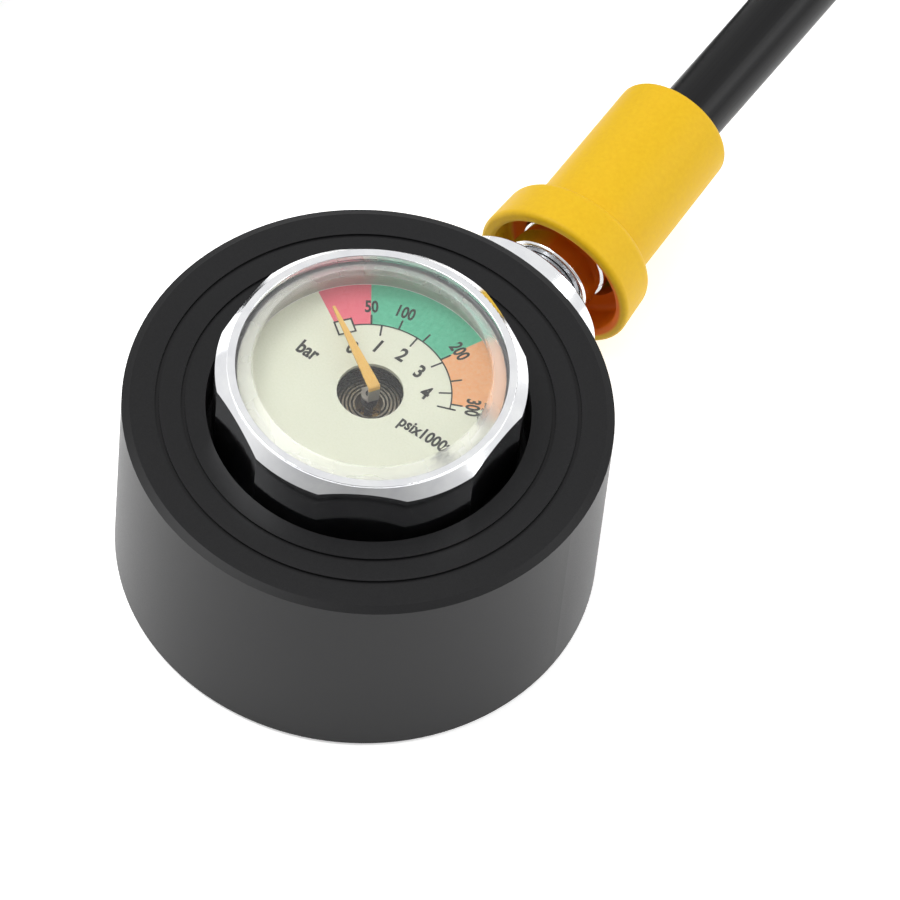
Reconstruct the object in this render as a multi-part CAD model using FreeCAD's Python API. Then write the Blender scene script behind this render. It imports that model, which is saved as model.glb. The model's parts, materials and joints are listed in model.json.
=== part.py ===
import FreeCAD, Part
import math
import os

# Gauge head and hose of a high-pressure hand pump. Millimetres.
# Origin: centre of the housing's base. +Z up, +Y the way the hose leaves.

# ---- housing ---------------------------------------------------------------
HOUSING_D = 56.0            # outside diameter of the round housing
HOUSING_H = 27.3            # base to top face
TOP_CHAMFER = (0.9, 0.4)    # top edge: across, down
BASE_CHAMFER = 0.3
RIM_GROOVE_IN = 4.0         # turned groove in the top face, this far in from the side
RECESS_GROOVE_OUT = 2.55    # the other groove, this far out from the recess
GROOVE_W = 0.48
GROOVE_DEPTH = 0.3
RECESS_GAP = 0.83           # round clearance between gauge case and recess
RECESS_DEPTH = 8.0
PASSAGE_R = 2.0             # upright air passage
SIDE_PASSAGE_R = 1.25       # passage to the hose port

# ---- threads and seals -----------------------------------------------------
THREAD_GAP = 0.05           # radial play of a plain-modelled thread
GAUGE_THREAD_R = 5.0        # M10 stem
GAUGE_THREAD_L = 5.3
HOSE_THREAD_R = 4.86        # G1/8 hose port
HOSE_THREAD_L = 9.0
INLET_THREAD_R = 7.0        # M14 inlet in the base
INLET_THREAD_L = 8.0
FILTER_R = 5.0
FILTER_T = 1.2
FILTER_RING_T = 0.8
SEAL_R = 0.6                # section radius of the small O-rings
BASE_SEAL_RING_R = 9.2      # O-ring in the base, mean radius
BASE_SEAL_R = 0.7

# ---- pressure gauge --------------------------------------------------------
GAUGE_TURN = 2.1            # degrees the case stands turned when screwed tight
CASE_FLATS = 33.9           # across flats
CASE_CORNER = 0.72          # how far the round corners stand out past the flats
CASE_H = 15.5               # case floor to the top of its chamfer
CASE_CHAMFER = (1.27, 1.24) # top edge: across, down
CASE_FLOOR = 2.0
CASE_WALL = 1.05            # wall at the flats
DIAL_LEDGE = 1.85           # width of the ledge that the dial sits on
DIAL_T = 0.5
DIAL_DROP = 5.3             # case top to the dial's face
DIAL_HOLE_R = 3.8
LENS_T = 2.0
LENS_RIM_T = 1.0            # thickness of the lens's stepped rim
LENS_STEP = 0.5             # width of that step
LENS_PROUD = 0.2            # lens face above the case top
LENS_BEVEL = (1.65, 0.85)   # slope round the lens's face: across, down
LENS_EDGE = 1.0             # radius where the slope meets the face
LENS_GAP = 0.2              # dark gap between lens and lip
LENS_SEAL_T = 0.6
DIAL_RING_T = 1.05          # wall of the ring between dial and lens
BEZEL_LIP = 0.95            # width of the bright lip round the lens
BEZEL_LIP_T = 0.3
STEM_HEAD_R = 6.5
STEM_HEAD_T = 2.5
STEM_BORE_R = 0.8
SPINDLE_R = 0.5
RUN_GAP = 0.05              # running clearance on a radius
SPIRAL_R0 = 1.6             # Bourdon spiral: inner radius
SPIRAL_PITCH = 0.42
SPIRAL_TURNS = 8
SPIRAL_T = 0.2
SPIRAL_H = 3.0
SPIRAL_LIFT = 0.4           # spiral above the stem head
POINTER_ANGLE = 148.3       # degrees from +X at rest
POINTER_L = 11.0            # pivot to tip
POINTER_BACK = 1.05         # pivot to the strip that comes down behind it
POINTER_ROOT_W = 1.35
POINTER_TIP_W = 0.3
POINTER_T = 0.25
POINTER_LIFT = 1.9          # blade above the dial
EYE_R = 1.0                 # round foot of the pointer on the hub
BOSS_R = 0.5                # hub's boss in the pointer's eye
HUB_R = 1.0
HUB_H = 1.2

# ---- hose and its fittings -------------------------------------------------
HOSE_D = 8.0
HOSE_AXIS_Z = 11.5
HOSE_WALL = 1.8
SPOT_DEPTH = 0.8            # flat spot-faced into the housing's side
SPOT_GAP = 1.0              # the flat reaches this far past the coupling
HEX_AF = 17.0               # coupling hexagon
HEX_L = 3.3
FLAT_UP = 90.0              # a flat of each hexagon on the hose faces up
FLANGE_R = 9.8              # round flange outside the hexagon
FLANGE_T = 3.0
FLANGE_EDGE = 0.35
NECK_WALL = 0.8             # wall of the neck round the spigot
NECK_L = 2.6
SPIGOT_R = 3.7
SPIGOT_L = 6.0
COLLAR_PROUD = 0.45         # collar's radius past the hose's
COLLAR_T = 0.5
COLLAR_GROOVE = 0.3
FERRULE_WALL = 1.7
FERRULE_L = 18.0
FERRULE_WALL_END = 1.5
FERRULE_STAND = 0.1         # gap between ferrule and collar
CRIMP_COUNT = 5
CRIMP_DEPTH = 0.25
CRIMP_W = 1.6
INSERT_NECK_R = 3.2
INSERT_BORE_R = 1.25
GRIP_L = 15.0               # length of hose inside a ferrule
BARB_L = 13.5

# ---- hose protector --------------------------------------------------------
GUARD_STAND = 0.9           # its mouth behind the ferrule's front
GUARD_L = 27.2
GUARD_DROP = 0.2            # it hangs on the hose a little low
GUARD_SKEW = 2.35           # degrees that it lies skewed on the hose
FLARE_STEP = 2.6            # mouth's radius past the barrel's
FLARE_TAPER = 0.4           # the flare narrows by this towards its shoulder
FLARE_WALL = 1.7
FLARE_L = 6.0
FLARE_LIP = 0.6             # radius round the mouth's edges
SHOULDER_R = 1.2
BARREL_WALL = 1.1
BARREL_TAPER = 0.25         # the barrel narrows by this towards its end
BARREL_GAP = 0.8            # radial room between ferrule and barrel
GUARD_HOLE_GAP = 0.9        # radial room between hose and end hole
GUARD_END_WALL = 3.0
GUARD_EDGE = 0.9

# ---- stored length of hose -------------------------------------------------
COIL_CENTRE = (-45.0, 130.0)
COIL_R = 45.0               # middle of the turns
TIE_T = 0.5
TIE_W = 4.8
TIE_ANGLE = 90.0
TIE_HEAD = (3.2, 5.0)       # lock of the tie: stands out, height
LEAD_END_Y = 112.0          # where the straight lead runs into the coil
TAIL_ROUTE = ((-90.0, 136.0, 4.5), (-90.0, 117.0, 4.5), (-90.0, 98.0, 9.5), (-90.0, 84.0, 9.5))

# ---- quick coupler ---------------------------------------------------------
SLEEVE_WALL = 1.3
SLEEVE_STAND = 0.6          # gap between sleeve and hexagon when drawn back
SLEEVE_TRAVEL = 4.0
SPRING_ROOM = 2.1           # radial room for the spring between barrel and sleeve
SLEEVE_GAP = 0.08
SLEEVE_EDGE = 0.8
RELEASE_STEP = 1.1          # release room's radius past the barrel's
RELEASE_L = 3.4
LAND_L = 5.6
GRIP_GROOVES = 7
GRIP_PITCH = 1.8
GRIP_GROOVE_W = 0.8
GRIP_GROOVE_DEPTH = 0.4
COUPLER_HEX_AF = 16.0
COUPLER_HEX_L = 5.0
SEAT_GAP = 0.4              # spring seat inside the sleeve's bore
SEAT_L = 1.9
SOCKET_WALL = 1.9
COUPLER_BARREL_L = 24.7     # hexagon to the mouth
SOCKET_R = 4.2
SOCKET_L = 14.0
GUIDE_STEP = 0.2            # the socket's mouth is wider by this on the radius
GUIDE_L = 3.4
BALL_R = 1.25
BALL_COUNT = 6
BALL_BACK = 5.0             # ball ring behind the mouth
BALL_PLAY = 0.05
SOCKET_SEAL_BACK = 11.5
SNAP_BACK = 1.8             # front of the snap ring behind the mouth
SNAP_T = 0.8
SNAP_DEPTH = 0.5
SNAP_GAP = 0.3              # snap ring inside the release room
SNAP_OPENING = 1.6
SPRING_WIRE_R = 0.4
SPRING_TURNS = 6

# ---- places worked out from the sizes above --------------------------------
HOUSING_R = HOUSING_D / 2
CASE_R = CASE_FLATS / 2 + CASE_CORNER
RECESS_R = CASE_R + RECESS_GAP
CASE_Z = HOUSING_H - RECESS_DEPTH
CASE_TOP = CASE_Z + CASE_H
DIAL_Z = CASE_TOP - DIAL_DROP
CAVITY_R = CASE_FLATS / 2 - CASE_WALL
LENS_TOP = CASE_TOP + LENS_PROUD
LENS_Z = LENS_TOP - LENS_T
BEZEL_OUT_R = CASE_R - CASE_CHAMFER[0]
BEZEL_IN_R = BEZEL_OUT_R - BEZEL_LIP
LENS_STEP_Z = LENS_Z + LENS_RIM_T
HEAD_Z = CASE_Z + CASE_FLOOR
SPIRAL_Z = HEAD_Z + STEM_HEAD_T + SPIRAL_LIFT
BLADE_Z = DIAL_Z + POINTER_LIFT
HUB_Z = SPIRAL_Z + SPIRAL_H + SPIRAL_LIFT
PORT_BOTTOM_Z = CASE_Z - GAUGE_THREAD_L
FILTER_Z = INLET_THREAD_L + FILTER_RING_T
HEX_Y = HOUSING_R - SPOT_DEPTH
NECK_Y = HEX_Y + HEX_L + FLANGE_T
COLLAR_Y = NECK_Y + NECK_L + COLLAR_GROOVE
FERRULE_Y = COLLAR_Y + COLLAR_T + FERRULE_STAND
MOUTH_Y = FERRULE_Y + FERRULE_L          # hose leaves the ferrule here
COLLAR_H = FERRULE_L + FERRULE_STAND     # the same pieces, counted from the hose
GROOVE_H = COLLAR_H + COLLAR_T
NECK_H = GROOVE_H + COLLAR_GROOVE
HEX_H = NECK_H + NECK_L
HOSE_R = HOSE_D / 2
HOSE_BORE_R = HOSE_R - HOSE_WALL
NECK_R = SPIGOT_R + NECK_WALL
COLLAR_R = HOSE_R + COLLAR_PROUD
FERRULE_R = HOSE_R + FERRULE_WALL
BARREL_BORE_R = FERRULE_R + BARREL_GAP
BARREL_R = BARREL_BORE_R + BARREL_WALL
FLARE_R = BARREL_R + FLARE_STEP
GUARD_HOLE_R = HOSE_R + GUARD_HOLE_GAP
COIL_Z = TIE_T                            # underside of the lower turn
COUPLER_BARREL_R = SOCKET_R + SOCKET_WALL
SLEEVE_BORE_R = COUPLER_BARREL_R + SPRING_ROOM
SLEEVE_R = SLEEVE_BORE_R + SLEEVE_WALL
RELEASE_R = COUPLER_BARREL_R + RELEASE_STEP
SEAT_R = SLEEVE_BORE_R - SEAT_GAP
COUPLER_H = HEX_H + COUPLER_HEX_L + COUPLER_BARREL_L
BALL_H = COUPLER_H - BALL_BACK
SNAP_H = COUPLER_H - SNAP_BACK - SNAP_T
LAND_FRONT_H = SNAP_H - BALL_PLAY
LAND_BACK_H = LAND_FRONT_H - LAND_L
SLEEVE_FRONT_H = LAND_FRONT_H + RELEASE_L
SLEEVE_BACK_H = HEX_H + COUPLER_HEX_L + SLEEVE_TRAVEL + SLEEVE_STAND
SLEEVE_L = SLEEVE_FRONT_H - SLEEVE_BACK_H
SEAT_H = HEX_H + COUPLER_HEX_L + SEAT_L
LAND_R = COUPLER_BARREL_R + SLEEVE_GAP

UP = FreeCAD.Vector(0, 0, 1)
ORIGIN = FreeCAD.Vector(0, 0, 0)
TOWARDS_HEAD = FreeCAD.Vector(0, -1, 0)   # from the hose's ends into their fittings
HEAD_FITTING = FreeCAD.Vector(0, MOUTH_Y, HOSE_AXIS_Z)
TAIL_FITTING = FreeCAD.Vector(*TAIL_ROUTE[-1])


# ---- helpers ---------------------------------------------------------------
def corner(points, index):
    """Start, middle and end of the arc that rounds one corner of an outline."""
    here = points[index]
    at = FreeCAD.Vector(here[0], 0, here[1])
    if len(here) < 3:
        return (at,)
    before, after = points[index - 1], points[(index + 1) % len(points)]
    back = (FreeCAD.Vector(before[0], 0, before[1]) - at).normalize()
    ahead = (FreeCAD.Vector(after[0], 0, after[1]) - at).normalize()
    half = back.getAngle(ahead) / 2
    inwards = (back + ahead).normalize()
    reach = here[2] / math.tan(half)
    middle = at + inwards * (here[2] / math.sin(half) - here[2])
    return (at + back * reach, middle, at + ahead * reach)


def outline(points):
    """Face in the XZ plane; a third number on a point is the radius of that corner."""
    corners = [corner(points, index) for index in range(len(points))]
    edges = []
    for index, here in enumerate(corners):
        if len(here) == 3:
            edges.append(Part.Arc(*here).toShape())
        start, end = here[-1], corners[(index + 1) % len(corners)][0]
        if (end - start).Length > 1e-6:
            edges.append(Part.LineSegment(start, end).toShape())
    return Part.Face(Part.Wire(edges))


def turned(points, degrees=360):
    """Solid turned about Z from (radius, height) points."""
    return outline(points).revolve(ORIGIN, UP, degrees)


def placed(shape, base, direction=UP):
    """Copy of a shape with its Z axis laid along a direction from a base point."""
    moved = shape.copy()
    moved.Placement = FreeCAD.Placement(base, FreeCAD.Rotation(UP, direction)).multiply(moved.Placement)
    return moved


def disc(radius, low, high):
    return Part.makeCylinder(radius, high - low, FreeCAD.Vector(0, 0, low))


def ring(inner, outer, low, high):
    return disc(outer, low, high).cut(disc(inner, low, high))


def o_ring(mean_radius, section_radius, height):
    return Part.makeTorus(mean_radius, section_radius, FreeCAD.Vector(0, 0, height))


def hexagon(across_flats, low, high, first_flat=0.0):
    """Hexagonal bar along Z; first_flat is the direction that a flat faces, in degrees from +X."""
    corner_r = across_flats / math.sqrt(3)
    points = []
    for step in range(7):
        angle = math.radians(60 * step + 30 + first_flat)
        points.append(FreeCAD.Vector(corner_r * math.cos(angle), corner_r * math.sin(angle), low))
    return Part.Face(Part.makePolygon(points)).extrude(UP * (high - low))


def around(shape, count):
    """The shape repeated evenly about Z, as one compound."""
    copies = []
    for step in range(count):
        copy = shape.copy()
        copy.rotate(ORIGIN, UP, 360.0 * step / count)
        copies.append(copy)
    return Part.makeCompound(copies)


def save(node, shape):
    if not shape.Solids or not shape.isValid():
        raise RuntimeError(node + " is not a valid solid")
    solid = shape.Solids[0] if len(shape.Solids) == 1 else shape
    solid.exportStep("parts/" + node + ".step")


# ---- housing and inlet -----------------------------------------------------
def housing():
    across, down = TOP_CHAMFER
    body = turned([(0, 0), (HOUSING_R - BASE_CHAMFER, 0), (HOUSING_R, BASE_CHAMFER),
                   (HOUSING_R, HOUSING_H - down), (HOUSING_R - across, HOUSING_H), (0, HOUSING_H)])
    cuts = [disc(RECESS_R, CASE_Z, HOUSING_H)]
    for radius in (HOUSING_R - RIM_GROOVE_IN, RECESS_R + RECESS_GROOVE_OUT):
        cuts.append(ring(radius - GROOVE_W / 2, radius + GROOVE_W / 2, HOUSING_H - GROOVE_DEPTH, HOUSING_H))
    cuts.append(disc(GAUGE_THREAD_R + THREAD_GAP, PORT_BOTTOM_Z, CASE_Z))
    cuts.append(ring(GAUGE_THREAD_R, GAUGE_THREAD_R + 2 * SEAL_R, CASE_Z - 2 * SEAL_R, CASE_Z))
    cuts.append(disc(PASSAGE_R, 0, PORT_BOTTOM_Z))
    cuts.append(disc(INLET_THREAD_R, 0, INLET_THREAD_L))
    cuts.append(disc(FILTER_R, INLET_THREAD_L, FILTER_Z + FILTER_T))
    cuts.append(ring(BASE_SEAL_RING_R - BASE_SEAL_R, BASE_SEAL_RING_R + BASE_SEAL_R, 0, 2 * BASE_SEAL_R))
    cuts += hose_port_cuts()
    for cut in cuts:
        body = body.cut(cut)
    return body


def hose_port_cuts():
    """Spot-face, thread, seal groove and passage of the side port, cut inwards from the side."""
    seat = FreeCAD.Vector(0, HEX_Y, HOSE_AXIS_Z)
    outwards = FreeCAD.Vector(0, 1, 0)
    shapes = [disc(FLANGE_R + SPOT_GAP, 0, HOUSING_R)]
    shapes.append(disc(HOSE_THREAD_R + THREAD_GAP, -HOSE_THREAD_L, 0))
    shapes.append(ring(HOSE_THREAD_R, HOSE_THREAD_R + 2 * SEAL_R, -2 * SEAL_R, 0))
    shapes.append(disc(SIDE_PASSAGE_R, -HEX_Y, -HOSE_THREAD_L))
    return [placed(shape, seat, outwards) for shape in shapes]


def inlet_seal():
    return o_ring(BASE_SEAL_RING_R, BASE_SEAL_R, BASE_SEAL_R)


def inlet_filter():
    return disc(FILTER_R, FILTER_Z, FILTER_Z + FILTER_T)


def filter_ring():
    return ring(FILTER_R * 0.7, FILTER_R, INLET_THREAD_L, FILTER_Z)


# ---- pressure gauge --------------------------------------------------------
def gauge_case():
    across, down = CASE_CHAMFER
    case = turned([(0, CASE_Z), (CASE_R, CASE_Z), (CASE_R, CASE_TOP - down),
                   (CASE_R - across, CASE_TOP), (0, CASE_TOP)])
    case = case.common(hexagon(CASE_FLATS, CASE_Z, CASE_TOP, GAUGE_TURN))
    case = case.cut(disc(CAVITY_R - DIAL_LEDGE, HEAD_Z, CASE_TOP))
    case = case.cut(disc(CAVITY_R, DIAL_Z - DIAL_T, CASE_TOP))
    return case.cut(disc(GAUGE_THREAD_R, CASE_Z, HEAD_Z))


def gauge_stem():
    stem = disc(GAUGE_THREAD_R, PORT_BOTTOM_Z + THREAD_GAP, HEAD_Z)
    stem = stem.fuse(disc(STEM_HEAD_R, HEAD_Z, HEAD_Z + STEM_HEAD_T))
    stem = stem.fuse(spiral_anchor())
    stem = stem.cut(disc(STEM_BORE_R, PORT_BOTTOM_Z, HEAD_Z - STEM_BORE_R))
    head_top = HEAD_Z + STEM_HEAD_T
    return stem.cut(disc(SPINDLE_R + RUN_GAP, head_top - 2 * SPINDLE_R, head_top)).removeSplitter()


def spiral_end():
    """Radius of the spiral's outer face where its last turn ends, on +X."""
    return SPIRAL_R0 + SPIRAL_TURNS * SPIRAL_PITCH + SPIRAL_T


def spiral_anchor():
    """Post on the stem head that holds the spiral's outer end."""
    low = HEAD_Z + STEM_HEAD_T
    post = Part.makeBox(SPIRAL_T * 4, SPIRAL_T * 6, SPIRAL_Z + SPIRAL_H - low)
    post.translate(FreeCAD.Vector(spiral_end(), -SPIRAL_T * 3, low))
    return post


def gauge_seal():
    return o_ring(GAUGE_THREAD_R + SEAL_R, SEAL_R, CASE_Z - SEAL_R)


def spiral_side(radius):
    """One side of the spiral: half circles that grow by half a pitch, about two centres."""
    arcs = []
    for half_turn in range(2 * SPIRAL_TURNS):
        r = radius + half_turn * SPIRAL_PITCH / 2
        centre = (half_turn % 2) * SPIRAL_PITCH / 2
        side = 1 if half_turn % 2 == 0 else -1
        ends = [FreeCAD.Vector(centre + side * r, 0, 0), FreeCAD.Vector(centre, side * r, 0)]
        ends.append(FreeCAD.Vector(centre - side * r, 0, 0))
        arcs.append(Part.Arc(*ends).toShape())
    return arcs


def bourdon_tube():
    inner, outer = spiral_side(SPIRAL_R0), spiral_side(SPIRAL_R0 + SPIRAL_T)
    caps = []
    for position in (SPIRAL_R0, SPIRAL_R0 + SPIRAL_TURNS * SPIRAL_PITCH):
        start = FreeCAD.Vector(position, 0, 0)
        end = FreeCAD.Vector(position + SPIRAL_T, 0, 0)
        caps.append(Part.LineSegment(start, end).toShape())
    wire = Part.Wire(Part.__sortEdges__(inner + outer + caps))
    strip = Part.Face(wire).extrude(UP * SPIRAL_H)
    strip.translate(UP * SPIRAL_Z)
    return strip


def dial_plate():
    return ring(DIAL_HOLE_R, CAVITY_R, DIAL_Z - DIAL_T, DIAL_Z)


def dial_ring():
    return ring(CAVITY_R - DIAL_RING_T, CAVITY_R, DIAL_Z, LENS_Z - LENS_SEAL_T)


def lens_seal():
    return ring(BEZEL_IN_R - LENS_STEP, CAVITY_R, LENS_Z - LENS_SEAL_T, LENS_Z)


def lens():
    """Clear window: a thin rim under the lip, a sloping edge, a flat face."""
    across, down = LENS_BEVEL
    edge_r = BEZEL_IN_R - LENS_GAP
    return turned([(0, LENS_Z), (CAVITY_R - RUN_GAP, LENS_Z), (CAVITY_R - RUN_GAP, LENS_STEP_Z),
                   (edge_r, LENS_STEP_Z), (edge_r, LENS_TOP - down), (edge_r - across, LENS_TOP, LENS_EDGE),
                   (0, LENS_TOP)])


def lens_ring():
    """Bezel: a skirt pressed into the case over the lens's rim, under a bright flat lip."""
    return turned([(BEZEL_IN_R, LENS_STEP_Z), (CAVITY_R, LENS_STEP_Z), (CAVITY_R, CASE_TOP),
                   (BEZEL_OUT_R, CASE_TOP),
                   (BEZEL_OUT_R, CASE_TOP + BEZEL_LIP_T, BEZEL_LIP_T / 3),
                   (BEZEL_IN_R, CASE_TOP + BEZEL_LIP_T, BEZEL_LIP_T / 3)])


def pointer_spindle():
    foot = HEAD_Z + STEM_HEAD_T - 2 * SPINDLE_R + RUN_GAP
    return disc(SPINDLE_R, foot, HUB_Z)


def pointer_hub():
    head = disc(HUB_R, HUB_Z, HUB_Z + HUB_H)
    return head.fuse(disc(BOSS_R, HUB_Z + HUB_H, HUB_Z + HUB_H + POINTER_T)).removeSplitter()


def pointer():
    """Strip bent twice: a round foot on the hub, a short upright behind the pivot, a tapered blade."""
    foot_z = HUB_Z + HUB_H
    bend_x = POINTER_T - POINTER_BACK
    side = [(-POINTER_BACK, foot_z, POINTER_T), (EYE_R, foot_z), (EYE_R, foot_z + POINTER_T),
            (bend_x, foot_z + POINTER_T), (bend_x, BLADE_Z), (POINTER_L, BLADE_Z),
            (POINTER_L, BLADE_Z + POINTER_T), (-POINTER_BACK, BLADE_Z + POINTER_T, POINTER_T)]
    sheet = outline(side).extrude(FreeCAD.Vector(0, 2 * EYE_R, 0))
    sheet.translate(FreeCAD.Vector(0, -EYE_R, 0))
    plan = []
    for x, width in ((-POINTER_BACK, POINTER_ROOT_W), (0, POINTER_ROOT_W), (POINTER_L, POINTER_TIP_W)):
        plan.append(FreeCAD.Vector(x, width / 2, foot_z))
    plan += [FreeCAD.Vector(p.x, -p.y, p.z) for p in reversed(plan)]
    rise = BLADE_Z + POINTER_T - foot_z
    blank = Part.Face(Part.makePolygon(plan + plan[:1])).extrude(UP * rise)
    blank = blank.fuse(disc(EYE_R, foot_z, foot_z + POINTER_T))
    shape = sheet.common(blank).cut(disc(BOSS_R, foot_z, foot_z + POINTER_T)).removeSplitter()
    shape.rotate(ORIGIN, UP, POINTER_ANGLE)
    return shape


# ---- hose fittings, drawn along Z from the hose into the fitting ----------------
def hose_coupling():
    """Coupling: thread into the housing, hexagon, round flange, neck with the hose's socket."""
    front = -HEX_L - FLANGE_T
    body = turned([(0, front), (FLANGE_R - FLANGE_EDGE, front), (FLANGE_R, front + FLANGE_EDGE),
                   (FLANGE_R, -HEX_L), (0, -HEX_L)])
    body = body.fuse(hexagon(HEX_AF, -HEX_L, 0, FLAT_UP)).fuse(disc(HOSE_THREAD_R, 0, HOSE_THREAD_L))
    body = body.fuse(disc(NECK_R, front - NECK_L, front))
    body = body.cut(disc(INSERT_BORE_R, front - NECK_L, HOSE_THREAD_L))
    body = body.cut(disc(SPIGOT_R, front - NECK_L, front - NECK_L + SPIGOT_L))
    return placed(body.removeSplitter(), FreeCAD.Vector(0, HEX_Y, HOSE_AXIS_Z), TOWARDS_HEAD)


def coupling_seal():
    shape = o_ring(HOSE_THREAD_R + SEAL_R, SEAL_R, SEAL_R)
    return placed(shape, FreeCAD.Vector(0, HEX_Y, HOSE_AXIS_Z), TOWARDS_HEAD)


def hose_insert(base):
    """Steel insert: barb in the hose, shoulder behind the ferrule, collar and spigot."""
    tip = GRIP_L - BARB_L
    wall_low = FERRULE_L - FERRULE_WALL_END
    body = turned([(INSERT_BORE_R, tip), (HOSE_BORE_R, tip), (HOSE_BORE_R, GRIP_L),
                   (HOSE_R, GRIP_L), (HOSE_R, wall_low), (INSERT_NECK_R, wall_low),
                   (INSERT_NECK_R, COLLAR_H), (COLLAR_R, COLLAR_H), (COLLAR_R, GROOVE_H),
                   (SPIGOT_R, GROOVE_H), (SPIGOT_R, NECK_H + SPIGOT_L), (INSERT_BORE_R, NECK_H + SPIGOT_L)])
    return placed(body, base, TOWARDS_HEAD)


def ferrule(base):
    """Crimp sleeve: a cup over the hose's end, with a row of shallow crimp bands."""
    wall_low = FERRULE_L - FERRULE_WALL_END
    cup = turned([(HOSE_R, 0), (FERRULE_R, 0, 0.5), (FERRULE_R, FERRULE_L, 0.4), (INSERT_NECK_R, FERRULE_L),
                  (INSERT_NECK_R, wall_low), (HOSE_R, wall_low)])
    pitch = (FERRULE_L - 2 * CRIMP_W) / CRIMP_COUNT
    for step in range(CRIMP_COUNT):
        low = CRIMP_W + step * pitch + (pitch - CRIMP_W) / 2
        cup = cup.cut(ring(FERRULE_R - CRIMP_DEPTH, FERRULE_R + 1, low, low + CRIMP_W))
    return placed(cup, base, TOWARDS_HEAD)


def hose_protector():
    """Loose yellow sleeve: short flared mouth, barrel closed down to the hose. It lies a little skewed."""
    flare_in_r = FLARE_R - FLARE_WALL
    inner_shoulder = FLARE_L - FLARE_WALL
    end_wall = GUARD_L - GUARD_END_WALL
    points = [(flare_in_r, 0, FLARE_LIP), (FLARE_R, 0, FLARE_LIP),
              (FLARE_R - FLARE_TAPER, FLARE_L, SHOULDER_R), (BARREL_R, FLARE_L + 0.3, 0.4),
              (BARREL_R - BARREL_TAPER, GUARD_L, GUARD_EDGE),
              (GUARD_HOLE_R, GUARD_L, 0.4), (GUARD_HOLE_R, end_wall), (BARREL_BORE_R, end_wall),
              (BARREL_BORE_R, inner_shoulder), (flare_in_r, inner_shoulder, 0.8)]
    skew = math.radians(GUARD_SKEW)
    along = FreeCAD.Vector(-math.sin(skew), math.cos(skew), 0)
    middle = FreeCAD.Vector(0, FERRULE_Y + GUARD_STAND + GUARD_L / 2, HOSE_AXIS_Z - GUARD_DROP)
    return placed(turned(points), middle - along * (GUARD_L / 2), along)


# ---- hose ------------------------------------------------------------------
def tube(points, radius):
    """Round tube along straight runs joined by tangent arcs, with its radii printed."""
    spots = [FreeCAD.Vector(*p) for p in points]
    edges, at = [], spots[0]
    for before, here, after in zip(spots, spots[1:], spots[2:]):
        back, ahead = before - here, after - here
        half = (math.pi - back.getAngle(ahead)) / 2
        reach = 0.45 * min(back.Length, ahead.Length)
        bend = reach / math.tan(half)
        print("bend radius %.1f mm" % bend)
        start, end = here + back.normalize() * reach, here + ahead.normalize() * reach
        inwards = (back + ahead).normalize()
        middle = here + inwards * (bend / math.cos(half) - bend)
        edges += [Part.LineSegment(at, start).toShape(), Part.Arc(start, middle, end).toShape()]
        at = end
    edges.append(Part.LineSegment(at, spots[-1]).toShape())
    path = Part.Wire(edges)
    section = Part.Wire(Part.makeCircle(radius, spots[0], spots[1] - spots[0]))
    solid = path.makePipeShell([section], True, False)
    print("tube length %.1f mm, volume / (section x length) %.4f"
          % (path.Length, solid.Volume / (math.pi * radius ** 2 * path.Length)))
    return solid


def hose_end(base):
    """Bore and grip of a hose end inside its ferrule."""
    return placed(ring(HOSE_BORE_R, HOSE_R, 0, GRIP_L), base, TOWARDS_HEAD)


def socket_cut(base):
    return placed(disc(HOSE_BORE_R, GRIP_L - BARB_L, GRIP_L), base, TOWARDS_HEAD)


def hose():
    start = HEAD_FITTING + TOWARDS_HEAD * GRIP_L
    lead = tube([start, (0, LEAD_END_Y, HOSE_AXIS_Z)], HOSE_R)
    return lead.cut(socket_cut(HEAD_FITTING))


def hose_coil():
    """Outer shape of the wound turns: two layers, one on the other."""
    centre = FreeCAD.Vector(COIL_CENTRE[0], COIL_CENTRE[1], 0)
    return placed(turned(coil_section(0)), centre)


def coil_section(grow):
    low, high = COIL_Z - grow, COIL_Z + 2 * HOSE_D + grow
    near, far = COIL_R - HOSE_R - grow, COIL_R + HOSE_R + grow
    edge = HOSE_R * 0.9 + grow
    return [(near, low, edge), (far, low, edge), (far, high, edge), (near, high, edge)]


def hose_tail():
    tail = tube(TAIL_ROUTE, HOSE_R)
    grip = placed(disc(HOSE_R, 0, GRIP_L), TAIL_FITTING, TOWARDS_HEAD)
    return tail.fuse(grip).cut(socket_cut(TAIL_FITTING)).removeSplitter()


def coil_tie():
    """Flat strap once round both layers, with its lock on the outside."""
    degrees = math.degrees(TIE_W / COIL_R)
    strap = turned(coil_section(TIE_T), degrees).cut(turned(coil_section(0), degrees))
    out, high = TIE_HEAD
    middle = COIL_Z + HOSE_D
    far = COIL_R + HOSE_R + TIE_T
    lock = turned([(far - TIE_T / 2, middle - high / 2), (far + out, middle - high / 2, 0.5),
                   (far + out, middle + high / 2, 0.5), (far - TIE_T / 2, middle + high / 2)], degrees)
    strap = strap.fuse(lock).removeSplitter()
    strap.rotate(ORIGIN, UP, TIE_ANGLE - degrees / 2)
    return placed(strap, FreeCAD.Vector(COIL_CENTRE[0], COIL_CENTRE[1], 0))


# ---- quick coupler on the hose's far end, drawn along Z from the hose -----------
def at_tail(shape):
    return placed(shape, TAIL_FITTING, TOWARDS_HEAD)


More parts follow.
